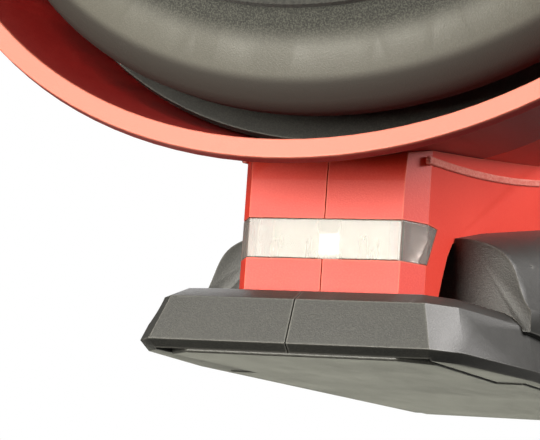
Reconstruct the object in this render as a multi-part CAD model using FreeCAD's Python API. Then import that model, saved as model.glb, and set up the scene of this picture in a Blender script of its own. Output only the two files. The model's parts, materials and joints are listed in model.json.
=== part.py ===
import FreeCAD, Part
import math
import os
from FreeCAD import Placement, Rotation, Vector

# Battery orbital sander, standing on its foot with the pad facing forward and up.
# Row frame: millimetres, +Z up, -Y the pad side, +X the right-hand side seen from the pad.
# Origin: centre of the foot's underside, which is also the underside of the battery pack.

# pad and shroud
pad_face_r = 65.0
pad_crease_r = 75.0
pad_shoulder_r = 78.6
orbit = 2.5
lip_r = 86.0
lip_width = 3.4
lip_height = 2.5
bowl_slope = 0.4
bowl_depth = 60.0
bowl_wall = 2.2
tilt = 14.3
ring_y = -80.0
ring_z = 118.9

# neck with the lamp lens
neck_flat = 14.4
neck_half = 17.5
neck_front = -78.5
neck_chamfer_y = -73.0
neck_base = 12.4
lens_low = 18.5
lens_high = 25.7
lens_depth = 2.6
shell_wall = 2.5
seam = 0.1

# foot
foot_half = 33.5
nose_narrower = 4.2
nose_back = -52.0
foot_front = -94.6
foot_back = 99.0
foot_rim_z = 0.3
foot_crease_z = 2.0
foot_edge_z = 9.9
deck_z = 12.35

# battery bay and pack
bay_half = 29.9
bay_top = 22.4
bay_front = -45.0
pack_gap = 0.3
pack_split_z = 11.0
pack_travel_room = 0.35
cell_r = 9.2
cell_length = 65.0

# motor and drive line, as depths behind the lip along the pad's axis
barrel_end = 112.0
shaft_r = 4.0
shaft_front = 33.0
shaft_end = 92.0
bearing_r = 9.5
front_bearing = (52.0, 58.0)
rear_bearing = (85.5, 91.5)
stator = (64.0, 80.0)
stator_r = 29.4
stator_bore = 15.0
rotor_r = 14.4
cup_r = 16.0
pad_bearing_r = 13.0
spindle_r = 5.0
fit_gap = 0.05

# rear handle
handle_half = 17.5
grip_front = 70.0
grip_back = 102.5
sleeve = 1.6
sleeve_low = 56.0
sleeve_high = 92.0

screw_r = 2.0
screw_head_r = 3.6


def save(shape, name):
    shape.exportStep("parts/" + name + ".step")
    solids = len(shape.Solids)
    print(name, solids, round(shape.Volume), shape.isValid())


def box(x0, x1, y0, y1, z0, z1):
    return Part.makeBox(x1 - x0, y1 - y0, z1 - z0, Vector(x0, y0, z0))


def group(shapes):
    return Part.makeCompound(shapes)


def fuse(shapes):
    return shapes[0].multiFuse(shapes[1:]).removeSplitter()


def mirrored(shape):
    return shape.mirror(Vector(0, 0, 0), Vector(1, 0, 0))


def prism_x(points, half):
    """A side outline of (y, z) points, pulled out to both sides of x = 0."""
    wire = Part.makePolygon([Vector(-half, y, z) for y, z in points + points[:1]])
    return Part.Face(wire).extrude(Vector(2 * half, 0, 0))


def prism_z(points, z0, z1):
    """A plan outline of (x, y) points, pulled up from z0 to z1."""
    wire = Part.makePolygon([Vector(x, y, z0) for x, y in points + points[:1]])
    return Part.Face(wire).extrude(Vector(0, 0, z1 - z0))


def to_axis(shape, up=0.0):
    """Moves a shape built round +Z, with z = -depth, onto the pad's axis."""
    turn = Rotation(Vector(1, 0, 0), 90 - tilt)
    home = Vector(0, ring_y, ring_z) + turn.multVec(Vector(0, up, 0))
    moved = shape.copy()
    moved.Placement = Placement(home, turn).multiply(moved.Placement)
    return moved


def turned(profile):
    """A solid of revolution from (radius, depth) points."""
    wire = Part.makePolygon([Vector(r, 0, -d) for r, d in profile + profile[:1]])
    return Part.Face(wire).revolve(Vector(0, 0, 0), Vector(0, 0, 1), 360)


def tube(inner, outer, d0, d1):
    body = Part.makeCylinder(outer, d1 - d0, Vector(0, 0, -d1))
    if inner <= 0:
        return body
    return body.cut(Part.makeCylinder(inner, d1 - d0 + 2, Vector(0, 0, -d1 - 1)))


def rod(radius, start, end):
    """A cylinder between two points."""
    run = end - start
    return Part.makeCylinder(radius, run.Length, start, run)


def around(shape, count, first=0.0):
    """Copies of a shape turned about +Z."""
    copies = []
    for i in range(count):
        copy = shape.copy()
        copy.rotate(Vector(0, 0, 0), Vector(0, 0, 1), first + 360.0 * i / count)
        copies.append(copy)
    return copies


def halves(shape):
    """Left and right halves, with the fine gap of a moulded seam between them."""
    far = 300
    left = shape.common(box(-far, -seam, -far, far, -far, far))
    right = shape.common(box(seam, far, -far, far, -far, far))
    return left, right


# ---------------------------------------------------------------- shroud and pad
def bowl_outer(d):
    return lip_r + bowl_wall - bowl_slope * d


def bowl_envelope(grow=0.0):
    ends = [(0, -1), (bowl_outer(-1) + grow, -1)]
    ends += [(bowl_outer(bowl_depth) + grow, bowl_depth + grow), (0, bowl_depth + grow)]
    return to_axis(turned(ends))


port_x = -48.6
port_up = 0.0
port_r = 13.4
port_bore = 11.4
port_end = 118.0


def at_port(shape):
    moved = shape.copy()
    moved.translate(Vector(port_x, port_up, 0))
    return to_axis(moved)


def build_shroud():
    inside = bowl_depth - bowl_wall
    profile = [(lip_r, 0), (lip_r + lip_width, 0), (lip_r + lip_width, lip_height)]
    profile += [(bowl_outer(lip_height), lip_height), (bowl_outer(bowl_depth), bowl_depth)]
    profile += [(bearing_r + 2, bowl_depth), (bearing_r + 2, inside)]
    profile += [(lip_r - bowl_slope * inside, inside)]
    shroud = to_axis(turned(profile))
    hole = at_port(tube(0, port_r + 0.05, inside - 1, bowl_depth + 1))
    screws = group([to_axis(s) for s in plate_screws(screw_r + 0.05)])
    return shroud.cut(hole).cut(screws)


def build_dust_port():
    pipe = tube(port_bore, port_r, bowl_depth - bowl_wall, port_end)
    bead = tube(port_bore, port_r + 0.8, port_end - 2.5, port_end)
    flange = tube(port_bore, port_r + 1.4, bowl_depth + 0.05, bowl_depth + 2)
    return at_port(fuse([pipe, bead, flange]))


def pad_holes(d0, d1):
    hole = Part.makeCylinder(5.0, d1 - d0, Vector(40, 0, -d1))
    return group(around(hole, 6, 30))


def build_backing_pad():
    profile = [(14, -2), (pad_face_r, -2), (pad_crease_r, 3.4), (pad_crease_r + 0.9, 4.4)]
    profile += [(pad_shoulder_r - 0.5, 7), (pad_shoulder_r, 10), (pad_shoulder_r - 1.2, 14)]
    profile += [(pad_shoulder_r - 4.4, 17), (70, 18), (31, 18), (31, 12), (14, 12)]
    body = turned(profile)
    body = to_axis(body.cut(pad_holes(-5, 20)), orbit)
    return body.cut(hub_screw_set(3.0, 1.65, 5.5))


def build_hook_face():
    face = tube(14, pad_face_r - 0.3, -3.2, -2)
    return to_axis(face.cut(pad_holes(-5, 0)), orbit)


def build_pad_hub():
    plate = tube(spindle_r - 0.6, 30.8, 12, 15)
    pocket = tube(4.3, 13.8, 7, 12)
    return to_axis(fuse([plate, pocket]), orbit).cut(hub_screw_set(2.9, 1.65, 5.5))


def build_pad_spindle():
    flange = tube(0, 9, 15, 19.2)
    pin = tube(0, spindle_r - fit_gap, 19, 30.5)
    thread = tube(0, 3.45, 13, 24)
    return to_axis(fuse([flange, pin]).cut(thread), orbit)


def build_pad_bolt():
    head = tube(0, 6.5, 2, 6)
    socket = tube(0, 2.9, 1, 4.5)
    hexagon = Part.makePolygon([Vector(2.9 * math.cos(a), 2.9 * math.sin(a), -4.5)
                                for a in [math.radians(60 * i) for i in range(7)]])
    socket = Part.Face(hexagon).extrude(Vector(0, 0, 4))
    stem = tube(0, 3.4, 6, 22)
    return to_axis(fuse([head, stem]).cut(socket), orbit)


def hub_screw_set(head_r, stem_r, end):
    made = []
    for x, y in ((22, 0), (0, 22), (-22, 0), (0, -22)):
        screw = fuse([tube(0, head_r, 15, 17), tube(0, stem_r, end, 15)])
        screw.translate(Vector(x, y, 0))
        made.append(screw)
    return to_axis(group(made), orbit)


def build_hub_screws():
    return hub_screw_set(3.0, 1.6, 6)


def build_pad_washer():
    return to_axis(tube(4.2, 9, 6, 7), orbit)


def build_baffle():
    plate = tube(34, 74.6, 25, 27)
    slot = Part.makeCylinder(6, 4, Vector(45, 0, -28))
    return to_axis(plate.cut(group(around(slot, 6))))


def build_brake_ring():
    return to_axis(tube(60, 63, 19, 25))


# ---------------------------------------------------------------- drive line
def build_eccentric():
    disc = tube(0, 19, 32, 40)
    weight = tube(0, 30, 32, 38)
    weight = weight.common(box(-40, 40, -40, -6, -60, 0))
    cup = tube(pad_bearing_r, cup_r, 20.2, 32)
    cup.translate(Vector(0, orbit, 0))
    bore = tube(0, shaft_r, shaft_front, 41)
    return to_axis(fuse([disc, weight, cup]).cut(bore))


def build_pad_bearing():
    return to_axis(tube(spindle_r, pad_bearing_r, 20.8, 31.4), orbit)


def build_motor_shaft():
    return to_axis(tube(0, shaft_r - fit_gap, shaft_front, shaft_end))


def build_fan():
    hub = tube(shaft_r, 8, 41, 50)
    disc = tube(shaft_r, 42, 48.5, 50)
    blade = box(0, 34, -0.8, 0.8, -48.5, -42)
    blade.translate(Vector(7.5, 0, 0))
    blade.rotate(Vector(7.5, 0, 0), Vector(0, 0, 1), 25)
    blade = blade.common(tube(0, 41, 41, 49))
    return to_axis(fuse([hub, disc] + around(blade, 9)))


def build_rotor_core():
    core = tube(shaft_r, rotor_r - 2.0, stator[0], stator[1])
    magnet = tube(rotor_r - 2.0, rotor_r, stator[0] + 0.5, stator[1] - 0.5)
    gap = box(0, 20, -0.5, 0.5, -stator[1] - 1, -stator[0] + 1)
    return to_axis(core), to_axis(magnet.cut(group(around(gap, 8))))


def build_bearing(place):
    return to_axis(tube(shaft_r, bearing_r, place[0], place[1]))


def build_stator():
    ring = tube(stator_r - 4.5, stator_r, stator[0], stator[1])
    long_tooth = box(stator_bore, stator_r - 3, -2, 2, -stator[1], -stator[0])
    shoe = tube(stator_bore, stator_bore + 1.8, stator[0], stator[1])
    slit = box(0, 22, -0.8, 0.8, -stator[1] - 1, -stator[0] + 1)
    shoe = shoe.cut(group(around(slit, 9, 20)))
    teeth = [t.common(tube(stator_bore, stator_r, stator[0], stator[1]))
             for t in around(long_tooth, 9)]
    coil_outer = box(stator_bore + 2.4, stator_r - 5.2, -3.9, 3.9, -stator[1] - 3, -stator[0] + 3)
    coil_inner = box(stator_bore, stator_r, -2.1, 2.1, -stator[1] - 0.2, -stator[0] + 0.2)
    coil = coil_outer.cut(coil_inner)
    coils = around(coil, 9)
    return to_axis(fuse([ring, shoe] + teeth)), to_axis(group(coils))


def plate_screws(radius):
    pins = []
    for i in range(4):
        angle = math.radians(45 + 90 * i)
        pin = Part.makeCylinder(radius, 14, Vector(26 * math.cos(angle), 26 * math.sin(angle), -68))
        pins.append(pin)
    return pins


def build_motor_plate():
    inside = bowl_depth - bowl_wall
    plate = tube(bearing_r, 31, inside - 3, inside)
    seat = tube(bearing_r, bearing_r + 1.9, inside - 6, bowl_depth)
    holes = group(plate_screws(screw_r + 0.05))
    return to_axis(fuse([plate, seat]).cut(holes))


def build_plate_screws():
    made = []
    inside = bowl_depth - bowl_wall - 3
    for i in range(4):
        angle = math.radians(45 + 90 * i)
        head = tube(0, screw_head_r, inside - 2.2, inside)
        stem = tube(0, screw_r, inside, bowl_depth)
        screw = fuse([head, stem])
        screw.translate(Vector(26 * math.cos(angle), 26 * math.sin(angle), 0))
        made.append(to_axis(screw))
    return group(made)


def build_bearing_seat():
    """The rear bearing's cup, on a spider that plugs into the barrel."""
    cup = tube(bearing_r, bearing_r + 2, rear_bearing[0], rear_bearing[1] + 1)
    rim = tube(45.5, 48.6, rear_bearing[0] + 1, rear_bearing[1])
    arm = box(bearing_r + 1, 47, -2.5, 2.5, -rear_bearing[1], -rear_bearing[0] - 2)
    seat = to_axis(fuse([cup, rim] + around(arm, 4, 45)))
    return seat.cut(at_port(tube(0, port_r + 0.5, 80, 96)))


def build_motor_can():
    return to_axis(tube(stator_r, stator_r + 1.8, bowl_depth, 82))


# ---------------------------------------------------------------- red housing
def neck_plan(inset=0.0, back=-30.0):
    front = neck_front + inset
    flat = neck_flat - inset * 0.4
    half = neck_half - inset
    corner = neck_chamfer_y + inset * 0.6
    return [(-flat, front), (flat, front), (half, corner), (half, back), (-half, back), (-half, corner)]


red_edge = [(-64.6, neck_base), (-62.0, 17.5), (-59.2, 22.0), (-56.4, 24.6), (-52.6, 25.8),
            (25, 38.2), (99, 39.2)]


def handle_outline():
    outer = [(-10, 140), (-6, 156), (8, 161), (58, 162), (80, 158), (94, 149), (101, 134)]
    outer += [(grip_back, 118), (grip_back, 60), (99.5, 47), (99, 39.2)]
    return outer + [(25, 38.2), (-30, 45), (-30, 120)]


opening = [(46, 119), (51, 124.5), (58, 127), (64, 126), (grip_front - 1, 121), (grip_front, 114),
           (grip_front, 68), (67.5, 60), (61, 55.2), (38, 53.4), (31, 55.2), (28.5, 60.5)]


def shrunk(points, amount):
    """A side outline moved inwards by an amount, as a face."""
    wire = Part.makePolygon([Vector(0, y, z) for y, z in points + points[:1]])
    return Part.Wire(wire.makeOffset2D(-amount, 0).Edges)


def side_solid(outer, half, inset, fillet, hole=None):
    """The handle's slab: outline less its opening, rounded along its rims."""
    wire = shrunk(outer, inset) if inset else Part.makePolygon(
        [Vector(0, y, z) for y, z in outer + outer[:1]])
    slab = Part.Face(wire)
    slab.translate(Vector(-(half - inset), 0, 0))
    slab = slab.extrude(Vector(2 * (half - inset), 0, 0))
    if hole:
        gap = Part.makePolygon([Vector(0, y, z) for y, z in hole + hole[:1]])
        if inset:
            gap = Part.Wire(gap.makeOffset2D(inset, 0).Edges)
        cutter = Part.Face(gap)
        cutter.translate(Vector(-50, 0, 0))
        slab = slab.cut(cutter.extrude(Vector(100, 0, 0)))
    rims = [e for e in slab.Edges if abs(abs(e.CenterOfMass.x) - (half - inset)) < 0.01]
    if not fillet:
        return slab
    return slab.makeChamfer(fillet, rims)


def cone_profile(inset):
    """The motor housing carries the shroud's cone on to its rear end."""
    skin = inset * 1.08
    start = bowl_depth - inset
    points = [(0, start), (bowl_outer(start) - skin, start), (bowl_outer(106) - skin, 106)]
    points += [(bowl_outer(110) - 1.4 - skin, 110 - inset * 0.4),
               (bowl_outer(112) - 6 - skin, barrel_end - inset)]
    return points + [(0, barrel_end - inset)]


def housing_form(inset=0.0):
    """The red housing's outer form, or the hollow inside it."""
    edge = [(y, z + inset) for y, z in red_edge]
    spine_line = edge[:6] + [(24, 60), (18, 80), (-75, 80), (-80, neck_base + inset)]
    spine_line[0] = (-64.6 - inset, neck_base + inset)
    half = neck_half - inset
    spine = prism_x(spine_line, half)
    front = prism_z(neck_plan(inset, 110), neck_base + inset - 1, 90)
    spine = spine.common(front)
    barrel = to_axis(turned(cone_profile(inset)))
    slab = side_solid(handle_outline(), handle_half, inset, 6.5 - inset * 0.8, opening)
    return spine.fuse(barrel).fuse(slab)


def lens_band(depth, low, high, back):
    outer = prism_z(neck_plan(0, back), low, high)
    inner = prism_z(neck_plan(depth, back + 1), low - 1, high + 1)
    return outer.cut(inner)


def case_screw_places():
    """(y, z) of the screws that hold the two red halves together."""
    return [(-50.0, 33.0), (6.0, 40.5), (60.0, 45.0), (93.0, 133.0), (30.0, 147.0), (92.0, 52.0)]


def build_housing():
    outer = housing_form()
    hollow = housing_form(shell_wall)
    hollow = hollow.cut(box(-50, 50, -200, 200, -50, neck_base + shell_wall))
    shell = outer.cut(hollow)
    posts = []
    holes = []
    for y, z in case_screw_places():
        left = Part.makeCylinder(5.8, handle_half - 1, Vector(1 - handle_half, y, z), Vector(1, 0, 0))
        right = Part.makeCylinder(4.4, handle_half - 1, Vector(0, y, z), Vector(1, 0, 0))
        posts += [left, right]
        holes.append(Part.makeCylinder(screw_r + 0.05, 26, Vector(-12, y, z), Vector(1, 0, 0)))
        holes.append(Part.makeCylinder(screw_head_r + 0.3, 20, Vector(-27.6, y, z), Vector(1, 0, 0)))
    for side in (-1, 1):
        boss = Part.makeCylinder(4.6, 11.6, Vector(side * 10.5 - 5.8, dial_y, dial_z), Vector(1, 0, 0))
        rib = box(side * 11.5 - 2.5, side * 11.5 + 2.5, neck_front + 6.25, neck_front + 8.5, 15, 29)
        posts += [boss, rib]
    holes.append(Part.makeCylinder(dial_axle_r + 0.06, 28, Vector(-14, dial_y, dial_z), Vector(1, 0, 0)))
    shell = shell.fuse(group(posts).common(outer))
    shell = shell.cut(group(holes))
    shell = shell.cut(bowl_envelope(0.05))
    shell = shell.cut(lens_form(lens_depth + 0.1, 0.05))
    shell = shell.cut(at_port(tube(0, port_r + 0.3, bowl_depth - 1, port_end + 2)))
    shell = shell.cut(at_port(tube(0, port_r + 1.7, bowl_depth - 1, bowl_depth + 2.4)))
    shell = shell.cut(side_band(0))
    shell = shell.cut(box(-7.2, 7.2, grip_front - 8, grip_front + 6, 95.5, 121.5))
    shell = shell.cut(lock_hole())
    shell = shell.cut(dial_slot())
    shell = shell.cut(lead_duct())
    slots = []
    for x in (21, 26, 31):
        for side in (-1, 1):
            tall = 28 - (x - 21) * 0.6
            slots.append(Part.makeBox(2.4, tall, 12, Vector(side * x - 1.2, -tall / 2, -barrel_end - 2)))
    shell = shell.cut(to_axis(group(slots)))
    left, right = halves(shell)
    stop = Part.makeCylinder(4.0, handle_half + 5.3, Vector(-6.3, lock_y, lock_z), Vector(1, 0, 0))
    return biggest(left), biggest(right.fuse(stop))


def lead_duct():
    return box(-6, 6, 30, 42, 30, 43.5)


def biggest(shape):
    return max(shape.Solids, key=lambda s: s.Volume)


def build_case_screws():
    made = []
    for y, z in case_screw_places():
        head = Part.makeCylinder(screw_head_r, 2.2, Vector(-9.8, y, z), Vector(1, 0, 0))
        drive = Part.makeCylinder(1.4, 1.4, Vector(-9.9, y, z), Vector(1, 0, 0))
        stem = Part.makeCylinder(screw_r, 21.2, Vector(-7.7, y, z), Vector(1, 0, 0))
        made.append(head.fuse(stem).cut(drive))
    return group(made)


def side_band(give):
    """The rubber sleeve's share of the grip, as a tube round it."""
    slab = side_solid(handle_outline(), handle_half + 1, 0, 0, opening)
    core = side_solid(handle_outline(), handle_half, sleeve, 5.2, opening)
    zone = box(-40, 40, 64, 120, sleeve_low + give, sleeve_high - give)
    return slab.cut(core).common(zone)


def build_grip_sleeve():
    form = side_solid(handle_outline(), handle_half, 0, 6.5, opening)
    return side_band(0.1).common(form)


# ---------------------------------------------------------------- controls
def build_trigger():
    face = [(grip_front - 5.5, 100), (grip_front - 6.5, 106),
            (grip_front - 5.0, 112), (grip_front - 3.4, 118),
            (grip_front - 2.4, 121), (grip_front + 5, 121), (grip_front + 5, 96.2), (grip_front - 3.6, 96.2)]
    paddle = prism_x(face, 6.8)
    edges = [e for e in paddle.Edges if abs(abs(e.CenterOfMass.x) - 6.8) < 0.01
             and e.CenterOfMass.y < grip_front + 4]
    keeper = box(-8.6, 8.6, grip_front + 3.2, grip_front + 5, 97.0, 120.4)
    return fuse([paddle.makeChamfer(1.2, edges), keeper])


def spring(radius, wire_r, length, turns, start, direction):
    helix = Part.makeHelix(length / turns, length, radius)
    circle = Part.Wire(Part.makeCircle(wire_r, Vector(radius, 0, 0), Vector(0, 1, 0)))
    coil = Part.Wire(helix.Edges).makePipeShell([circle], True, True)
    coil.Placement = Placement(start, Rotation(Vector(0, 0, 1), direction))
    return coil


def build_trigger_spring():
    return spring(2.4, 0.35, 3.6, 3, Vector(0, grip_front + 5.6, 114), Vector(0, 1, 0))


def build_switch():
    body = box(-6, 6, grip_front + 10.2, grip_front + 24, 97, 121)
    plunger = box(-2, 2, grip_front + 9.4, grip_front + 10.4, 101, 105)
    return fuse([body, plunger])


lock_y = 80.0
lock_z = 131.0


def lock_hole():
    return Part.makeCylinder(4.3, 12, Vector(-handle_half - 6, lock_y, lock_z), Vector(1, 0, 0))


def build_lock_button():
    cap = Part.makeCylinder(4.0, 7.0, Vector(-handle_half - 2.0, lock_y, lock_z), Vector(1, 0, 0))
    collar = Part.makeCylinder(5.4, 1.2, Vector(-handle_half + shell_wall + 0.3, lock_y, lock_z),
                               Vector(1, 0, 0))
    return fuse([cap, collar])


def build_lock_spring():
    start = Vector(-handle_half + shell_wall + 3.2, lock_y, lock_z)
    return spring(2.4, 0.35, 5.0, 3, start, Vector(1, 0, 0))


dial_y = 52.0
dial_z = 152.8
dial_r = 11.0
dial_axle_r = 2.44


def dial_slot():
    return box(-4.3, 4.3, dial_y - 9.8, dial_y + 9.8, dial_z + 4.7, dial_z + 16)


def build_speed_dial():
    wheel = Part.makeCylinder(dial_r, 7.6, Vector(-3.8, dial_y, dial_z), Vector(1, 0, 0))
    notches = []
    for i in range(24):
        angle = math.radians(15 * i)
        centre = Vector(-5, dial_y + (dial_r + 0.3) * math.cos(angle),
                        dial_z + (dial_r + 0.3) * math.sin(angle))
        notches.append(Part.makeCylinder(0.8, 10, centre, Vector(1, 0, 0)))
    bore = Part.makeCylinder(2.5, 10, Vector(-5, dial_y, dial_z), Vector(1, 0, 0))
    return wheel.cut(group(notches)).cut(bore)


def build_dial_axle():
    return Part.makeCylinder(dial_axle_r, 27.6, Vector(-13.8, dial_y, dial_z), Vector(1, 0, 0))


# ---------------------------------------------------------------- lamp
def lens_form(depth, grow):
    """The band round the neck's front, with its ends cut on a slant."""
    band = lens_band(depth, lens_low - grow, lens_high + grow, -60.0)
    end = [(-90, lens_low - 1), (-73.0 + grow, lens_low - 1),
           (-66.2 + grow, lens_high + 1), (-90, lens_high + 1)]
    return band.common(prism_x(end, 40))


def build_lens():
    return lens_form(lens_depth, 0.0)


def build_lamp_board():
    return box(-11, 11, neck_front + lens_depth + 2.0, neck_front + lens_depth + 3.6, 17, 29)


def build_lamp():
    back = neck_front + lens_depth + 2.0
    dome = Part.makeSphere(1.5, Vector(0, back - 0.4, 21.6))
    stub = box(-1.75, 1.75, back - 0.6, back, 19.9, 23.4)
    dome = dome.common(box(-5, 5, back - 3, back - 0.3, 15, 30))
    return fuse([dome, stub])


# ---------------------------------------------------------------- foot
def foot_plan(half, front, z, cut=6.0):
    nose = half - nose_narrower
    right = [(nose - cut * 0.7, front), (nose, front + cut), (half, nose_back), (half, foot_back)]
    points = [(-x, y) for x, y in reversed(right)] + right
    return Part.makePolygon([Vector(x, y, z) for x, y in points + points[:1]])


def block_section(y, points, low=9.0):
    """A cross-section: straight sides up to the first point, then a smooth shoulder to the top."""
    side = [Vector(x, y, z) for x, z in points]
    curve = Part.BSplineCurve()
    curve.interpolate(side)
    other = Part.BSplineCurve()
    other.interpolate([Vector(-v.x, v.y, v.z) for v in reversed(side)])
    first, last = side[0], side[-1]
    base_right = Vector(first.x, y, low)
    base_left = Vector(-first.x, y, low)
    edges = [Part.LineSegment(base_left, base_right).toShape(), Part.LineSegment(base_right, first).toShape(),
             curve.toShape(), Part.LineSegment(last, Vector(-last.x, y, last.z)).toShape(),
             other.toShape(), Part.LineSegment(Vector(-first.x, y, first.z), base_left).toShape()]
    return Part.Wire(edges)


def foot_form():
    low = foot_plan(foot_half - 0.8, foot_front + 2.3, foot_rim_z)
    crease = foot_plan(foot_half, foot_front, foot_crease_z)
    edge = foot_plan(foot_half - 2.2, foot_front + 3.4, foot_edge_z)
    deck = foot_plan(foot_half - 4.0, foot_front + 7.0, 11.6)
    top = foot_plan(foot_half - 5.5, foot_front + 13, deck_z)
    layers = [low, crease, edge, deck, top]
    slab = [Part.makeLoft([a, b], True, True) for a, b in zip(layers[:-1], layers[1:])]
    rows = [(-55.0, [(32.6, 12.9), (31.2, 15.0), (29.7, 19.0), (27.9, 22.4), (24.8, 24.6), (17.4, 25.9)]),
            (-35.0, [(33.3, 14.2), (32.6, 18.5), (31.2, 23.0), (28.4, 26.4), (24.0, 28.6), (17.4, 29.8)]),
            (25.0, [(33.3, 15.0), (33.0, 23.0), (31.8, 30.0), (29.0, 35.0), (24.6, 38.0), (17.4, 39.6)]),
            (foot_back, [(33.3, 15.0), (33.0, 23.5), (31.8, 31.0), (29.0, 36.2), (24.6, 39.4), (17.4, 41.0)])]
    sections = [block_section(y, points) for y, points in rows]
    block = Part.makeLoft(sections, True, True)
    return fuse(slab), block


def red_clearance():
    """The room the red housing takes above the foot."""
    line = [(y, z - 0.05) for y, z in red_edge]
    return prism_x([(-90, neck_base - 0.05)] + line + [(110, 39.2), (110, 80), (-90, 80)], handle_half + 0.1)


def build_foot():
    slab, block = foot_form()
    outer = slab.fuse(block)
    hollow = prism_x([(-30, bay_top + 2.2), (-30, bay_top + 3.6), (20, 33.4), (92, 34.6),
                      (92, bay_top + 2.2)], 21.0)
    rails = group([box(x - 1, x + 1, 6, 88, bay_top, 26) for x in (-11.5, 11.5)])
    front = box(-22.5, 22.5, -86, -64.6, 5.0, 10.4)
    posts = group([Part.makeCylinder(5.0, 60, Vector(-30, y, z), Vector(1, 0, 0))
                   for y, z in foot_screw_places()])
    cuts = [red_clearance(), box(-bay_half, bay_half, bay_front, 200, -5, bay_top)]
    cuts += [box(-24.6, 24.6, -92.6, 200, -5, 2.9), box(-15, 15, -52.5, bay_front + 1, 2.0, 20.5)]
    cuts += [hollow.cut(rails), front.cut(posts), lead_duct(), lead_shaft()]
    cuts += [box(-60, 60, 74, 200, 4.4, 18.0)]
    shell = outer
    for cut in cuts:
        shell = shell.cut(cut)
    holes = []
    for y, z in foot_screw_places():
        holes.append(Part.makeCylinder(screw_r + 0.05, 32, Vector(-18, y, z), Vector(1, 0, 0)))
        holes.append(Part.makeCylinder(screw_head_r + 0.3, 30, Vector(-39.0, y, z), Vector(1, 0, 0)))
    left, right = halves(shell.cut(group(holes)))
    return biggest(left), biggest(right)


def lead_shaft():
    """The way for the leads from the terminal block up to the board."""
    up = box(-5, 5, -51.4, -48.6, 20, 23.6)
    along = box(-5, 5, -51.4, -23, 22.85, 24.9)
    return up.fuse(along)


def foot_screw_places():
    return [(-84.0, 7.0), (-68.0, 7.0)]


def build_foot_screws():
    made = []
    for y, z in foot_screw_places():
        head = Part.makeCylinder(screw_head_r, 2.2, Vector(-11.2, y, z), Vector(1, 0, 0))
        drive = Part.makeCylinder(1.4, 1.4, Vector(-11.3, y, z), Vector(1, 0, 0))
        stem = Part.makeCylinder(screw_r, 22.5, Vector(-9.0, y, z), Vector(1, 0, 0))
        made.append(head.fuse(stem).cut(drive))
    return group(made)


# ---------------------------------------------------------------- electronics
def build_controller():
    return box(-13, 13, 8, 86, 26.0, 27.6)


def build_heat_sink():
    base = box(-11, 11, 46, 82, 28.6, 30.0)
    fins = [box(x - 0.5, x + 0.5, 46, 82, 29.9, 32.2) for x in (-8, -4, 0, 4, 8)]
    return fuse([base] + fins)


def build_transistors():
    made = []
    for i in range(3):
        for x in (-5.0, 5.0):
            y = 52.0 + 11 * i
            made.append(box(x - 3, x + 3, y - 3, y + 3, 27.6, 28.6))
    return group(made)


def bend(points, radius):
    """A round lead along straight runs, with ball corners."""
    pieces = []
    for a, b in zip(points[:-1], points[1:]):
        pieces.append(rod(radius, Vector(*a), Vector(*b)))
        pieces.append(Part.makeSphere(radius, Vector(*b)))
    return fuse(pieces)


def build_motor_leads():
    return group([bend([(x, 33.0, 28.4), (x, 33.0, 47.6), (x, -12.2, 47.6), (x, -4.4, 73.2)], 0.8)
                  for x in (-3.4, 0.0, 3.4)])


def build_battery_leads():
    return group([bend([(x, -50, 20.4), (x, -50, 23.7), (x, -25, 23.7), (x, -25, 25.6), (x, 7.15, 25.6)], 0.8)
                  for x in (-3.4, 3.4)])


def build_switch_leads():
    return group([bend([(x, 90.0, 96.2), (x, 90.0, 60.0), (x, 80.0, 50.0), (x, 80.0, 44.0)], 0.7)
                  for x in (-3.0, 3.0)])


def build_terminal_block():
    return box(-14.6, 14.6, -52.2, bay_front - 2.5, 4.0, 19.6)


def build_terminal_blades():
    made = []
    for x in blade_places():
        made.append(box(x - 0.4, x + 0.4, bay_front - 2.5, bay_front + 5.9, 9.0, 17.0))
    return group(made)


# ---------------------------------------------------------------- battery pack
def build_pack_base():
    half = bay_half - pack_gap
    back = foot_back - 0.4
    tray = box(-half, half, bay_front + 0.6, back, 0, pack_split_z)
    tray = tray.cut(box(-half + 1.6, half - 1.6, bay_front + 2.2, back - 1.6, 1.6, 40))
    tongue_top = 2.5
    points = [(-24.2, bay_front + 3), (-24.2, -86), (-19, -92.2), (19, -92.2),
              (24.2, -86), (24.2, bay_front + 3)]
    tongue = prism_z(points, 0, tongue_top)
    tray = tray.fuse(tongue)
    for side in (-1, 1):
        x = side * (half - 5.65)
        tray = tray.fuse(box(x - 0.7, x + 0.7, 90.2, 97.4, 1.2, pack_split_z))
    tray = tray.cut(button_windows()).cut(blade_slots())
    return tray.removeSplitter()


def blade_slots():
    return group([box(x - 0.8, x + 0.8, bay_front - 1, bay_front + 5, 8.6, 17.4) for x in blade_places()])


def blade_places():
    return (-10.0, -3.5, 3.5, 10.0)


def button_windows():
    window = box(bay_half - 3, 60, 76.5, 91.5, 5.6, pack_split_z + 5.8)
    return group([window, mirrored(window)])


def build_pack_cover():
    half = bay_half - pack_gap
    back = foot_back - 0.4
    cover = box(-half, half, bay_front + 0.6, back, pack_split_z + 0.05, bay_top - 0.4)
    cover = cover.cut(box(-half + 1.6, half - 1.6, bay_front + 2.2, back - 1.6, 0, bay_top - 1.7))
    return cover.cut(blade_slots()).cut(button_windows())


def build_cells():
    made = []
    pitch = 2 * cell_r + 0.3
    for row, places in enumerate([(-pitch, 0, pitch), (-pitch / 2, pitch / 2)]):
        for x in places:
            y0 = bay_front + 6.8 + row * (cell_length + 1.4)
            cell = Part.makeCylinder(cell_r, cell_length, Vector(x, y0, 11.0), Vector(0, 1, 0))
            made.append(cell)
    return group(made)


def build_cell_links():
    first = bay_front + 6.3
    made = [box(-25, 25, first, first + 0.4, 6, 16), box(-25, 25, first + 65.7, first + 66.7, 6, 16)]
    made.append(box(-14, 14, first + 132.1, first + 132.5, 6, 16))
    return group(made)


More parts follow.
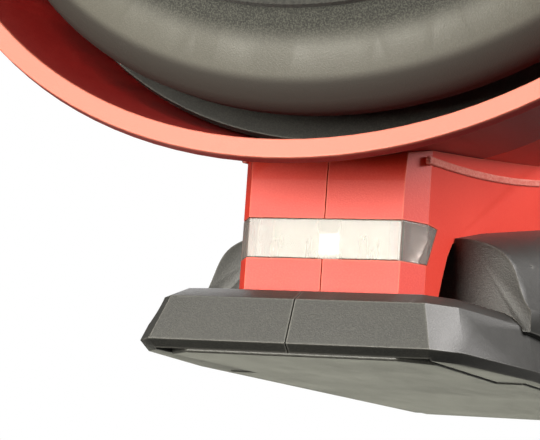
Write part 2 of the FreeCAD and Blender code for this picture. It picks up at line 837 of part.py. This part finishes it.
def build_pack_contacts():
    made = []
    for x in blade_places():
        made.append(box(x - 1.4, x - 0.45, bay_front + 2.4, bay_front + 5.8, 9.4, 16.6))
        made.append(box(x + 0.45, x + 1.4, bay_front + 2.4, bay_front + 5.8, 9.4, 16.6))
    return group(made)


def build_release_button():
    half = bay_half - pack_gap
    cap = box(half - 1.8, half + 5.0, 77.0, 91.0, 6.0, pack_split_z + 5.2)
    edges = [e for e in cap.Edges if abs(e.CenterOfMass.x - (half + 5.0)) < 0.01]
    cap = cap.makeFillet(1.6, edges)
    flange = box(half - 2.7, half - 1.7, 75.8, 92.2, 4.8, pack_split_z + 6.4)
    return fuse([cap, flange])


def build_button_spring():
    half = bay_half - pack_gap
    return spring(1.1, 0.25, 1.6, 2, Vector(half - 4.65, 91.0, 8.0), Vector(1, 0, 0))


def main():
    os.makedirs("parts", exist_ok=True)
    save(build_shroud(), "shroud")
    save(build_dust_port(), "dust_port")
    save(build_baffle(), "shroud_baffle")
    save(build_brake_ring(), "pad_brake_ring")
    save(build_backing_pad(), "backing_pad")
    save(build_hook_face(), "hook_face")
    save(build_pad_hub(), "pad_hub")
    save(build_pad_spindle(), "pad_spindle")
    save(build_pad_bolt(), "pad_bolt")
    save(build_pad_washer(), "pad_washer")
    save(build_hub_screws(), "hub_screws")
    save(build_pad_bearing(), "pad_bearing")
    save(build_eccentric(), "eccentric")
    save(build_motor_shaft(), "motor_shaft")
    save(build_fan(), "fan")
    core, magnets = build_rotor_core()
    save(core, "rotor_core")
    save(magnets, "rotor_magnets")
    save(build_bearing(front_bearing), "front_bearing")
    save(build_bearing(rear_bearing), "rear_bearing")
    stack, coils = build_stator()
    save(stack, "stator")
    save(coils, "stator_coils")
    save(build_motor_can(), "motor_can")
    save(build_motor_plate(), "motor_plate")
    save(build_plate_screws(), "plate_screws")
    save(build_bearing_seat(), "rear_bearing_seat")
    left, right = build_housing()
    save(left, "housing_left")
    save(right, "housing_right")
    save(build_case_screws(), "case_screws")
    save(build_grip_sleeve(), "grip_sleeve")
    save(build_trigger(), "trigger")
    save(build_trigger_spring(), "trigger_spring")
    save(build_switch(), "switch")
    save(build_lock_button(), "lock_button")
    save(build_lock_spring(), "lock_spring")
    save(build_speed_dial(), "speed_dial")
    save(build_dial_axle(), "dial_axle")
    save(build_lens(), "lens")
    save(build_lamp_board(), "lamp_board")
    save(build_lamp(), "lamp")
    left, right = build_foot()
    save(left, "foot_left")
    save(right, "foot_right")
    save(build_foot_screws(), "foot_screws")
    save(build_motor_leads(), "motor_leads")
    save(build_battery_leads(), "battery_leads")
    save(build_switch_leads(), "switch_leads")
    save(build_controller(), "controller_board")
    save(build_transistors(), "transistors")
    save(build_heat_sink(), "heat_sink")
    save(build_terminal_block(), "terminal_block")
    save(build_terminal_blades(), "terminal_blades")
    save(build_pack_base(), "pack_base")
    save(build_pack_cover(), "pack_cover")
    save(build_cells(), "battery_cells")
    save(build_cell_links(), "cell_links")
    save(build_pack_contacts(), "pack_contacts")
    button = build_release_button()
    save(button, "release_button_right")
    save(mirrored(button), "release_button_left")
    coil = build_button_spring()
    save(coil, "button_spring_right")
    save(mirrored(coil), "button_spring_left")


main()
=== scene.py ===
import json
import math
import bmesh
import bpy
from mathutils import Matrix, Vector

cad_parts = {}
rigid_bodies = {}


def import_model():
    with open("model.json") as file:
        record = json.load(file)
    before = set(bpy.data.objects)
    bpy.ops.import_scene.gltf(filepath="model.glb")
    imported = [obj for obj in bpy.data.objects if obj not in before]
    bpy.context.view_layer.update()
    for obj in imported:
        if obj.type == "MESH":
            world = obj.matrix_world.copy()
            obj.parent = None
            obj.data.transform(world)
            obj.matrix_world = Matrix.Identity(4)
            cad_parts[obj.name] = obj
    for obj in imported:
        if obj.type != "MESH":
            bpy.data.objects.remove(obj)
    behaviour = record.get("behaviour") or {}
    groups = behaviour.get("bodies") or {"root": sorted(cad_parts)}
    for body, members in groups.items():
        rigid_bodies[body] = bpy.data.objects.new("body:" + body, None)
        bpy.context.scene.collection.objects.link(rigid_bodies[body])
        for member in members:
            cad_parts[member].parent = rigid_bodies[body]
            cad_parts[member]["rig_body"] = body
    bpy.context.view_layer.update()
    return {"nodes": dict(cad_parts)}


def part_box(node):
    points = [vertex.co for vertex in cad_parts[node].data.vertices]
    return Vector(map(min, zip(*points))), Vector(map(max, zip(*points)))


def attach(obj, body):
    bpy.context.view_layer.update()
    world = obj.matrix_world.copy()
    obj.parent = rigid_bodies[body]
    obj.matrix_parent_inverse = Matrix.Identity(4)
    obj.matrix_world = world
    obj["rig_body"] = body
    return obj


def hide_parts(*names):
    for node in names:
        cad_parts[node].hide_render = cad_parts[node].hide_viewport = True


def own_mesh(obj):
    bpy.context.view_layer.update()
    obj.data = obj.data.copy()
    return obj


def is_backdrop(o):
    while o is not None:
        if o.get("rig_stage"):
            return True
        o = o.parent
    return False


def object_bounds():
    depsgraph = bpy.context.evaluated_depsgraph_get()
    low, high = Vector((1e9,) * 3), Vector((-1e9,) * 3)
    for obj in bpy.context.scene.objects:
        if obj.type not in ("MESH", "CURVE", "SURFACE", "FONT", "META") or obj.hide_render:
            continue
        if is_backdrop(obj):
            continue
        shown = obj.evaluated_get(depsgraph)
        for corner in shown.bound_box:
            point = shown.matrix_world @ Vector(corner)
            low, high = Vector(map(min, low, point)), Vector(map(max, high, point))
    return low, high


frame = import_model()
nodes = frame["nodes"]
print("frame loaded:", len(nodes), "nodes")

mm = 0.001

# where the pad axis meets the pad plane, and how far it leans back
padAxis = {"centre": Vector((0, -0.0800, 0.1189)), "tilt": math.radians(14.3)}
outward = Vector((0, -math.cos(padAxis["tilt"]), math.sin(padAxis["tilt"])))
upward = Vector((0, math.sin(padAxis["tilt"]), math.cos(padAxis["tilt"])))
padTurn = Matrix((Vector((1, 0, 0)), upward, outward)).transposed().to_4x4()
padPlace = Matrix.Translation(padAxis["centre"]) @ padTurn

cameraSetup = {
    "place": (0.1098, -0.3934, -0.0218),
    "azimuth": 20.88,
    "elevation": -7.95,
    "roll": 3.96,
    "lens": 126.7,
    "sensor": 36,
}


def makeCamera(setup):
    a, e, r = (math.radians(setup[k]) for k in ("azimuth", "elevation", "roll"))
    back = Vector((math.sin(a) * math.cos(e), -math.cos(a) * math.cos(e), math.sin(e)))
    side = Vector((math.cos(a), math.sin(a), 0))
    top = back.cross(side)
    turnedSide = side * math.cos(r) + top * math.sin(r)
    turnedTop = top * math.cos(r) - side * math.sin(r)
    data = bpy.data.cameras.new("camera")
    data.lens = setup["lens"]
    data.sensor_width = setup["sensor"]
    data.clip_start = 0.01
    data.clip_end = 20
    camera = bpy.data.objects.new("camera", data)
    bpy.context.scene.collection.objects.link(camera)
    turn = Matrix((turnedSide, turnedTop, back)).transposed().to_4x4()
    camera.matrix_world = Matrix.Translation(setup["place"]) @ turn
    bpy.context.scene.camera = camera


makeCamera(cameraSetup)


class Wire:
    def __init__(self, finish, socket):
        self.finish = finish
        self.socket = socket

    def maths(self, operation, a, b):
        return self.finish.node("ShaderNodeMath", {"operation": operation}, {0: a, 1: b})

    def __add__(self, other):
        return self.maths("ADD", self, other)

    def __sub__(self, other):
        return self.maths("SUBTRACT", self, other)

    def __rsub__(self, other):
        return self.maths("SUBTRACT", other, self)

    def __mul__(self, other):
        return self.maths("MULTIPLY", self, other)

    def __pow__(self, other):
        return self.maths("POWER", self, other)

    __radd__ = __add__
    __rmul__ = __mul__


class Finish:
    def __init__(self, name, **fixed):
        self.material = bpy.data.materials.new(name)
        self.material.use_nodes = True
        self.tree = self.material.node_tree
        self.shader = self.tree.nodes["Principled BSDF"]
        self.place = self.node("ShaderNodeTexCoord", {}, {}, "Object")
        for socket, value in fixed.items():
            self.shader.inputs[socket.replace("_", " ")].default_value = value

    def node(self, kind, settings, values, output=0):
        made = self.tree.nodes.new(kind)
        for name, value in settings.items():
            if name == "stops":
                ramp = made.color_ramp
                while len(ramp.elements) < len(value):
                    ramp.elements.new(0.5)
                for element, (position, level) in zip(ramp.elements, value):
                    element.position = position
                    element.color = (level, level, level, 1)
            else:
                setattr(made, name, value)
        for name, value in values.items():
            self.feed(made.inputs[name], value)
        return Wire(self, made.outputs[output])

    def feed(self, socket, value):
        if isinstance(value, Wire):
            self.tree.links.new(value.socket, socket)
        else:
            socket.default_value = value

    def stretched(self, scale):
        return self.node("ShaderNodeMapping", {}, {"Vector": self.place, "Scale": scale})

    # distance from the pad's axis, and depth behind the pad's plane
    def polar(self, centre):
        turn = padTurn.inverted()
        shift = -(turn @ centre)
        local = self.node("ShaderNodeMapping", {}, {
            "Vector": self.place, "Location": shift, "Rotation": turn.to_euler()})
        across = self.node("ShaderNodeSeparateXYZ", {}, {0: local}, "X")
        split = across.socket.node
        along = Wire(self, split.outputs["Y"])
        depth = 0 - Wire(self, split.outputs["Z"])
        return (across * across + along * along) ** 0.5, depth

    def between(self, value, low, high):
        return self.node("ShaderNodeMapRange", {"interpolation_type": "SMOOTHSTEP"},
                         {"Value": value, "From Min": low, "From Max": high}, "Result")

    def noise(self, scale, detail, roughness, at=None):
        values = {"Vector": at or self.place, "Scale": scale}
        values.update({"Detail": detail, "Roughness": roughness})
        return self.node("ShaderNodeTexNoise", {}, values, "Fac")

    def cells(self, scale):
        values = {"Vector": self.place, "Scale": scale}
        return self.node("ShaderNodeTexVoronoi", {"feature": "F1"}, values, "Distance")

    def ramp(self, value, stops):
        return self.node("ShaderNodeValToRGB", {"stops": stops}, {"Fac": value})

    def blend(self, amount, first, second):
        first, second = (c if isinstance(c, Wire) else (*c, 1) for c in (first, second))
        settings = {"data_type": "RGBA", "blend_type": "MIX", "clamp_factor": True}
        return self.node("ShaderNodeMix", settings, {0: amount, 6: first, 7: second}, 2)

    # 1 along sharp edges, where plastic rubs pale, and 0 on the flats
    def edges(self, radius):
        soft = self.node("ShaderNodeBevel", {"samples": 4}, {"Radius": radius})
        flat = self.node("ShaderNodeNewGeometry", {}, {}, "Normal")
        match = self.node("ShaderNodeVectorMath", {"operation": "DOT_PRODUCT"},
                          {0: soft, 1: flat}, "Value")
        return self.ramp(1 - match, [(0.01, 0), (0.10, 1)])

    def bump(self, height, distance, strength):
        values = {"Height": height, "Distance": distance, "Strength": strength}
        return self.node("ShaderNodeBump", {}, values)

    def give(self, **values):
        for name, value in values.items():
            self.feed(self.shader.inputs[name.replace("_", " ")], value)
        return self.material


# what a plastic's look may leave out
plainLook = {
    "specular": 0.5, "stretch": (1, 1, 1), "streaks": 160, "speckle": 0.2, "streak": 0.1,
    "paintedLightBands": (), "edge": 0.7, "wear": 0.3, "depth": 0.05,
}


def mouldedPlastic(name, given):
    look = {**plainLook, **given}
    f = Finish(name, IOR=1.5, Specular_IOR_Level=look["specular"])
    broad = f.noise(28, 3, 0.55)
    fine = f.noise(look["grain"], 2, 0.6)
    speckle = f.ramp(f.noise(look["grain"] * 0.6, 1, 0.5), [(0.40, 0), (0.66, 1)])
    lines = f.noise(look["streaks"], 4, 0.6, f.stretched(look["stretch"]))
    streak = f.ramp(lines, [(0.42, 0), (0.70, 1)])
    tone = f.blend(broad, look["deep"], look["colour"])
    tone = f.blend(speckle * look["speckle"], tone, look["light"])
    tone = f.blend(streak * look["streak"], tone, look["light"])
    rough = look["rough"] + (broad - 0.5) * 0.12 + (fine - 0.5) * 0.10
    rough = rough + streak * look["streak"] * 0.2
    # bands around the pad's axis paint light and shade into the colour: painted highlights and
    # painted shade
    for ring in look["paintedLightBands"]:
        radius, depth = f.polar(ring["centre"])
        measured = radius if ring["by"] == "radius" else depth
        paintedLightReach = f.between(measured, ring["from"] * mm, ring["to"] * mm)
        tone = f.blend(paintedLightReach * ring["amount"], tone, ring["colour"])
        rough = rough + paintedLightReach * ring.get("rough", 0)
    tone = f.blend(f.edges(look["edge"] * mm) * look["wear"], tone, look["worn"])
    relief = f.bump(fine * 0.7 + speckle * 0.3, look["depth"] * mm, 0.6)
    return f.give(Base_Color=tone, Roughness=rough, Normal=relief)


def metal(name, look):
    f = Finish(name, Metallic=1.0)
    brushed = f.noise(look["lines"], 3, 0.6, f.stretched(look["stretch"]))
    spots = f.ramp(f.noise(220, 3, 0.6), [(0.45, 0), (0.75, 1)])
    tone = f.blend(brushed, look["deep"], look["colour"])
    tone = f.blend(spots * 0.35, tone, look["worn"])
    rough = look["rough"] + (brushed - 0.5) * 0.18 + spots * 0.12
    return f.give(Base_Color=tone, Roughness=rough, Normal=f.bump(brushed, 0.02 * mm, 0.5))


# the eccentric pin holds the pad this far off the motor's axis
pinOffset = 2.5 * mm
padCentre = padAxis["centre"] + upward * pinOffset
plasticLooks = {
    "red_plastic": {
        "colour": (0.68, 0.026, 0.006), "deep": (0.60, 0.018, 0.005), "light": (0.80, 0.085, 0.035),
        "worn": (0.90, 0.24, 0.12), "rough": 0.50, "grain": 5200, "depth": 0.04, "wear": 0.35,
        "speckle": 0.18, "streak": 0.05, "stretch": (1, 0.2, 1.6), "streaks": 420, "edge": 0.5,
    },
    "shroud_red": {
        "colour": (0.30, 0.005, 0.005), "deep": (0.25, 0.004, 0.004), "light": (0.74, 0.12, 0.085),
        "worn": (0.85, 0.26, 0.18), "rough": 0.46, "grain": 4600, "depth": 0.05, "wear": 0.4,
        "speckle": 0.10, "streak": 0.05, "stretch": (1.6, 0.5, 0.5), "streaks": 520, "edge": 0.5,
        # the lip's front, within 0.9 mm of the pad plane, is painted paler salmon: mostly a painted
        # highlight, partly rubbed wear
        "paintedLightBands": [
            {"centre": padAxis["centre"], "by": "depth", "from": 0.9, "to": 0.2, "amount": 0.85,
             "colour": (0.62, 0.17, 0.115)},
        ],
    },
    "rim_red": {
        "colour": (0.62, 0.10, 0.07), "deep": (0.52, 0.04, 0.03), "light": (0.86, 0.36, 0.28),
        "worn": (0.90, 0.45, 0.36), "rough": 0.42, "grain": 4200, "depth": 0.10, "wear": 0.5,
        "speckle": 0.5, "streak": 0.55, "stretch": (1, 0.5, 2.5), "streaks": 900, "edge": 0.5,
    },
    "black_plastic": {
        "colour": (0.022, 0.022, 0.019), "deep": (0.014, 0.014, 0.013),
        "light": (0.065, 0.063, 0.054),
        "worn": (0.20, 0.195, 0.175), "rough": 0.44, "grain": 5600, "depth": 0.06, "wear": 0.5,
        "speckle": 0.35, "streak": 0.12, "stretch": (0.4, 1, 2), "streaks": 200, "edge": 0.6,
    },
    "pack_plastic": {
        "colour": (0.036, 0.036, 0.031), "deep": (0.022, 0.022, 0.020),
        "light": (0.11, 0.108, 0.095),
        "worn": (0.26, 0.25, 0.22), "rough": 0.42, "grain": 5200, "depth": 0.07, "wear": 0.7,
        "speckle": 0.4, "streak": 0.18, "stretch": (1.5, 0.35, 1), "streaks": 150, "edge": 0.7,
    },
    "rubber": {
        "colour": (0.026, 0.026, 0.027), "deep": (0.016, 0.016, 0.017),
        "light": (0.06, 0.06, 0.062),
        "worn": (0.11, 0.11, 0.11), "rough": 0.72, "grain": 3600, "depth": 0.10, "wear": 0.35,
        "speckle": 0.4, "streak": 0.06, "edge": 0.8, "specular": 0.35,
    },
    "pad_foam": {
        "colour": (0.026, 0.026, 0.023), "deep": (0.020, 0.020, 0.018), "light": (0.12, 0.12, 0.10),
        "worn": (0.15, 0.15, 0.125), "rough": 0.95, "grain": 6200, "depth": 0.06, "wear": 0.22,
        "speckle": 0.42, "streak": 0.06, "edge": 1.0,
        # a painted highlight on the pad's band from 67 to 71.5 mm
        "paintedLightBands": [
            {"centre": padCentre, "by": "radius", "from": 67.0, "to": 71.5, "amount": 0.7,
             "rough": -0.47,
             "colour": (0.125, 0.120, 0.100)},
            # painted shade on the pad's side wall past the crease, under the shroud
            {"centre": padCentre, "by": "radius", "from": 74.6, "to": 76.2, "amount": 0.9,
             "rough": 0.15,
             "colour": (0.030, 0.028, 0.024)},
        ],
    },
    "lead_black": {
        "colour": (0.03, 0.03, 0.03), "deep": (0.02, 0.02, 0.02), "light": (0.07, 0.07, 0.07),
        "worn": (0.12, 0.12, 0.12), "rough": 0.5, "grain": 1800, "edge": 0.3, "wear": 0.2,
    },
    "board": {
        "colour": (0.02, 0.16, 0.06), "deep": (0.012, 0.10, 0.04), "light": (0.10, 0.30, 0.14),
        "worn": (0.42, 0.36, 0.16), "rough": 0.38, "grain": 900, "edge": 0.4, "wear": 0.5,
    },
    "cell_wrap": {
        "colour": (0.08, 0.22, 0.46), "deep": (0.05, 0.16, 0.36), "light": (0.20, 0.36, 0.60),
        "worn": (0.45, 0.5, 0.6), "rough": 0.34, "grain": 700, "edge": 0.5, "wear": 0.3,
    },
}
metalLooks = {
    "steel": {"colour": (0.62, 0.61, 0.59), "deep": (0.42, 0.41, 0.40), "worn": (0.30, 0.28, 0.26),
              "rough": 0.30, "lines": 500, "stretch": (6, 0.5, 0.5)},
    "screw_steel": {"colour": (0.36, 0.35, 0.34), "deep": (0.22, 0.215, 0.21),
                   "worn": (0.10, 0.10, 0.10),
                    "rough": 0.36, "lines": 900, "stretch": (1, 4, 4)},
    "aluminium": {"colour": (0.78, 0.78, 0.77), "deep": (0.60, 0.60, 0.60),
                   "worn": (0.50, 0.50, 0.50),
                  "rough": 0.36, "lines": 420, "stretch": (1, 5, 1)},
    "magnet": {"colour": (0.30, 0.30, 0.31), "deep": (0.20, 0.20, 0.21), "worn": (0.14, 0.14, 0.14),
               "rough": 0.42, "lines": 300, "stretch": (1, 1, 1)},
    "copper": {"colour": (0.72, 0.34, 0.16), "deep": (0.50, 0.20, 0.09), "worn": (0.30, 0.11, 0.05),
               "rough": 0.32, "lines": 1500, "stretch": (1, 1, 6)},
    "nickel": {"colour": (0.66, 0.64, 0.58), "deep": (0.50, 0.48, 0.43), "worn": (0.36, 0.34, 0.30),
               "rough": 0.26, "lines": 600, "stretch": (5, 1, 1)},
}


def hookFabric():
    f = Finish("hookFabric", IOR=1.45, Sheen_Weight=0.12, Sheen_Roughness=0.5)
    loops = f.cells(1500)
    fuzz = f.noise(900, 3, 0.7)
    broad = f.noise(34, 3, 0.5)
    tone = f.blend(fuzz, (0.012, 0.012, 0.011), (0.035, 0.034, 0.030))
    tone = f.blend(f.ramp(loops, [(0.25, 0), (0.7, 1)]) * 0.4, tone, (0.06, 0.058, 0.05))
    return f.give(Base_Color=tone, Roughness=0.82 + (broad - 0.5) * 0.2,
                  Normal=f.bump(loops * 0.6 + fuzz * 0.4, 0.16 * mm, 0.8))


def clearPlastic():
    f = Finish("clearPlastic", IOR=1.49, Specular_IOR_Level=0.15, Transmission_Weight=0.8)
    cloud = f.noise(60, 3, 0.6, f.stretched((4.0, 1, 0.5)))
    fine = f.noise(1800, 2, 0.5)
    tone = f.blend(cloud, (0.52, 0.43, 0.39), (0.76, 0.68, 0.63))
    return f.give(Base_Color=tone, Roughness=0.20 + cloud * 0.14,
                  Normal=f.bump(cloud * 0.7 + fine * 0.3, 0.06 * mm, 0.5))


# the LED glows by emission though it is switched off: a painted highlight
def lampGlassPaintedGlow():
    f = Finish("lampGlassPaintedGlow", IOR=1.5, Emission_Strength=1.2)
    ring = f.noise(420, 2, 0.5)
    tone = f.blend(ring, (0.86, 0.87, 0.88), (1.0, 1.0, 1.0))
    return f.give(Base_Color=tone, Emission_Color=tone, Roughness=0.12 + ring * 0.1)


finishes = {slot: mouldedPlastic(slot + "Finish", look) for slot, look in plasticLooks.items()}
finishes.update({slot: metal(slot + "Finish", look) for slot, look in metalLooks.items()})
finishes["hook_fabric"] = hookFabric()
finishes["clear"] = clearPlastic()
lampPaintedGlowFinish = lampGlassPaintedGlow()

slotOf = {}
for name, node in nodes.items():
    slotOf[name] = node.data.materials[0].name.split(".")[0]
    finish = lampPaintedGlowFinish if name == "lamp" else finishes[slotOf[name]]
    for place in range(len(node.material_slots)):
        node.material_slots[place].material = finish
print("finishes given to every node")


smoothAngle = math.radians(40)


def nodeCopy(name, weld):
    mesh = bmesh.new()
    mesh.from_mesh(nodes[name].data)
    bmesh.ops.remove_doubles(mesh, verts=mesh.verts, dist=weld * mm)
    return mesh


def newPiece(name, mesh, body, slot, finish=None):
    data = bpy.data.meshes.new(name)
    mesh.to_mesh(data)
    mesh.free()
    data.materials.append(finish or finishes[slot])
    for polygon in data.polygons:
        polygon.use_smooth = True
    data.set_sharp_from_angle(angle=smoothAngle)
    piece = bpy.data.objects.new(name, data)
    bpy.context.scene.collection.objects.link(piece)
    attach(piece, body)
    return piece


roundedAngle = math.radians(38)


def roundEdges(piece, width, segments):
    rounding = piece.modifiers.new("softEdges", "BEVEL")
    rounding.width = width * mm
    rounding.segments = segments
    rounding.limit_method = "ANGLE"
    rounding.angle_limit = roundedAngle
    rounding.harden_normals = True
    rounding.use_clamp_overlap = True


# each of these takes the shape of its node and gets soft moulded edges of this many millimetres
softened = {
    "shroud": 0.35, "housing_left": 0.45, "housing_right": 0.45, "foot_left": 0.6,
    "foot_right": 0.6,
    "pack_base": 0.6, "pack_cover": 0.6, "grip_sleeve": 0.5, "trigger": 0.6, "lock_button": 0.4,
    "speed_dial": 0.25, "release_button_left": 0.5, "release_button_right": 0.5, "dust_port": 0.3,
    "backing_pad": 0.5, "lens": 0.25,
}
flatAngle = math.radians(0.6)
for name, width in softened.items():
    mesh = nodeCopy(name, 0.004)
    bmesh.ops.dissolve_limit(mesh, angle_limit=flatAngle, verts=mesh.verts, edges=mesh.edges)
    piece = newPiece(name + "_skin", mesh, nodes[name]["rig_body"], slotOf[name])
    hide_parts(name)
    roundEdges(piece, width, 2)
print("moulded pieces softened:", len(softened))

# each spring lists its button's joint, its axis x (0) or y (1), its fixed end and its travel; the
# coil is only a welded copy of its node
springs = {
    "trigger_spring": {"joint": "trigger_slide", "way": 1, "fixed": 79.5, "travel": 4.2},
    "lock_spring": {"joint": "lock_slide", "way": 0, "fixed": -6.4, "travel": 2.5},
    "button_spring_left": {"joint": "release_left_press", "way": 0, "fixed": -24.7, "travel": 1.8},
    "button_spring_right": {"joint": "release_right_press", "way": 0, "fixed": 24.7, "travel": 1.8},
}
for name, spring in springs.items():
    low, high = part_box(name)
    way = spring["way"]
    anchor = (low + high) / 2
    anchor[way] = spring["fixed"] * mm
    coil = newPiece(name + "_coil", nodeCopy(name, 0.002), nodes[name]["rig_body"], slotOf[name])
    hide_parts(name)
    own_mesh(coil)
print("springs made:", len(springs))

# the frosted strip near the top of the red side panel, as y and z of its two ends, sagging by bow
panelRim = {
    "front": (-75.2, 36.2), "rear": (13.6, 47.4), "bow": 0.95, "steps": 14,
    "tall": 1.5, "inside": 16.9, "proud": 17.95, "round": 0.35,
}


def shiftGrown(mesh, grown, by):
    verts = [g for g in grown if isinstance(g, bmesh.types.BMVert)]
    bmesh.ops.translate(mesh, verts=verts, vec=by)


def makePanelRim(name, side):
    mesh = bmesh.new()
    frontY, frontZ = panelRim["front"]
    rearY, rearZ = panelRim["rear"]
    verts = []
    for step in range(panelRim["steps"] + 1):
        t = step / panelRim["steps"]
        y = frontY + (rearY - frontY) * t
        z = frontZ + (rearZ - frontZ) * t - panelRim["bow"] * 4 * t * (1 - t)
        verts.append(mesh.verts.new((panelRim["inside"] * mm, y * mm, z * mm)))
    edges = [mesh.edges.new(pair) for pair in zip(verts, verts[1:])]
    grown = bmesh.ops.extrude_edge_only(mesh, edges=edges)["geom"]
    shiftGrown(mesh, grown, (0, 0, panelRim["tall"] * mm))
    grown = bmesh.ops.extrude_face_region(mesh, geom=mesh.faces[:], use_keep_orig=True)["geom"]
    shiftGrown(mesh, grown, ((panelRim["proud"] - panelRim["inside"]) * mm, 0, 0))
    bmesh.ops.scale(mesh, verts=mesh.verts, vec=(side, 1, 1))
    bmesh.ops.remove_doubles(mesh, verts=mesh.verts, dist=0.01 * mm)
    bmesh.ops.recalc_face_normals(mesh, faces=mesh.faces)
    rim = newPiece(name, mesh, "machine", "red_plastic", finishes["rim_red"])
    roundEdges(rim, panelRim["round"], 3)


makePanelRim("panel_rim_right", 1)
makePanelRim("panel_rim_left", -1)
print("panel rims made")


# the floor is just under the base, and it can be seen through from below, where the camera is
floorSetup = {"halfWidth": 3.0, "height": -0.0006, "glow": 0.62}


def makeFloor():
    mesh = bmesh.new()
    bmesh.ops.create_grid(mesh, x_segments=2, y_segments=2, size=floorSetup["halfWidth"])
    bmesh.ops.translate(mesh, verts=mesh.verts, vec=(0, 0, floorSetup["height"]))
    data = bpy.data.meshes.new("floor")
    mesh.to_mesh(data)
    mesh.free()
    floor = bpy.data.objects.new("floor", data)
    bpy.context.scene.collection.objects.link(floor)
    f = Finish("floorFinish")
    grain = f.noise(30, 2, 0.5)
    tone = f.blend(grain, (0.86, 0.86, 0.85), (0.90, 0.90, 0.89))
    f.shader.inputs["Emission Strength"].default_value = floorSetup["glow"]
    f.give(Base_Color=tone, Emission_Color=tone, Roughness=0.8)
    under = f.node("ShaderNodeNewGeometry", {}, {}, "Backfacing")
    see = f.node("ShaderNodeBsdfTransparent", {}, {})
    top = Wire(f, f.shader.outputs[0])
    shown = f.node("ShaderNodeMixShader", {}, {0: under, 1: top, 2: see})
    f.feed(f.tree.nodes["Material Output"].inputs["Surface"], shown)
    data.materials.append(f.material)
    floor.visible_diffuse = False
    floor.visible_glossy = False
    floor.visible_shadow = False
    floor.visible_transmission = False
    floor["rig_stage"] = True


# how brightly the world lights the object; to the camera it is plain white
worldFill = 0.13


def makeWorld(fill):
    world = bpy.data.worlds.new("studio")
    bpy.context.scene.world = world
    world.use_nodes = True
    tree = world.node_tree
    shade = tree.nodes["Background"]
    backdrop = tree.nodes.new("ShaderNodeBackground")
    backdrop.inputs["Strength"].default_value = 1.0
    backdrop.inputs["Color"].default_value = (1, 1, 1, 1)
    shade.inputs["Strength"].default_value = fill
    shade.inputs["Color"].default_value = (1, 0.985, 0.95, 1)
    path = tree.nodes.new("ShaderNodeLightPath")
    mix = tree.nodes.new("ShaderNodeMixShader")
    tree.links.new(path.outputs["Is Camera Ray"], mix.inputs[0])
    tree.links.new(shade.outputs[0], mix.inputs[1])
    tree.links.new(backdrop.outputs[0], mix.inputs[2])
    tree.links.new(mix.outputs[0], tree.nodes["World Output"].inputs["Surface"])


softLights = {
    "key": {"at": (-0.38, -0.98, 0.80), "aim": (0, -0.06, 0.07), "size": 0.75, "power": 11.5,
            "colour": (1, 0.97, 0.88)},
    "front": {"at": (-0.30, -1.20, 0.06), "aim": (0, -0.06, 0.06), "size": 0.60, "power": 23,
              "colour": (1, 0.97, 0.88)},
    "side": {"at": (0.95, 0.30, 0.62), "aim": (0, 0, 0.04), "size": 0.7, "power": 22,
             "colour": (1, 0.97, 0.95)},
    "backdrop": {"at": (-0.55, 1.5, -0.16), "aim": (0, 0, 0.02), "size": 0.9, "power": 3.2,
                 "colour": (1, 0.99, 0.80)},
    "rear": {"at": (-0.5, 0.9, 0.9), "aim": (0, 0, 0.1), "size": 0.9, "power": 6,
             "colour": (1, 1, 1)},
}


def makeLights(lights):
    for name, light in lights.items():
        data = bpy.data.lights.new(name, "AREA")
        data.shape = "DISK"
        data.size = light["size"]
        data.energy = light["power"]
        data.color = light["colour"]
        lamp = bpy.data.objects.new(name, data)
        bpy.context.scene.collection.objects.link(lamp)
        aim = Vector(light["aim"]) - Vector(light["at"])
        lamp.location = light["at"]
        lamp.rotation_mode = "QUATERNION"
        lamp.rotation_quaternion = aim.to_track_quat("-Z", "Y")
        lamp.visible_camera = False


makeFloor()
makeWorld(worldFill)
makeLights(softLights)
bpy.context.scene.view_settings.view_transform = "Standard"
print("stage, world and lights made")

low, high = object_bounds()
